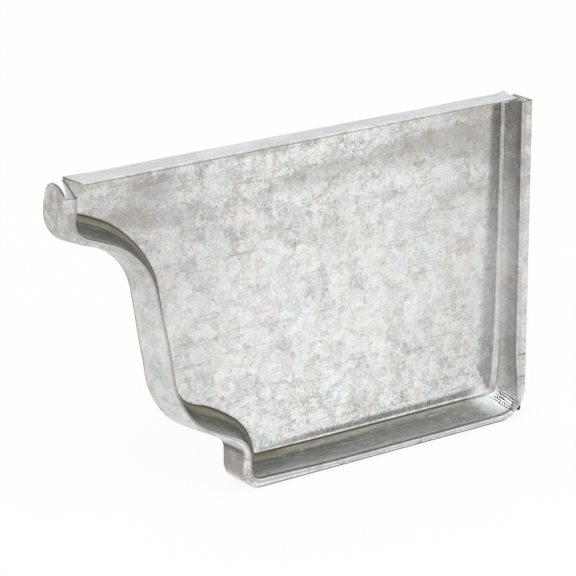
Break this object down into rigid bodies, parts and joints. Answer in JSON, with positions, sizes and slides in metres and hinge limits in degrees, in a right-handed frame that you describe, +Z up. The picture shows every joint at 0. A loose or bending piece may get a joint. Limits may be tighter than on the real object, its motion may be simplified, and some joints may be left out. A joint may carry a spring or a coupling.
{
  "type": "gutter end cap",
  "caption": "Right-hand end cap for an ogee-front rain gutter, folded from one galvanised steel sheet with a U-shaped rim round the outline and a hem along the top.",
  "frame": {"origin": "under the middle of the box, on the plane that the bottom of the rim stands on", "axes": "+X from the front lip towards the back wall that lies against the fascia, +Y from the outside into the gutter, +Z up, as installed"},
  "size_m": [0.1324, 0.0118, 0.0817],
  "materials": {
    "galvanised_sheet": "hot-dip galvanised with a fine spangle, semi-matt"
  },
  "bodies": {
    "root": {"end_cap": "galvanised_sheet"}
  },
  "joints": []
}
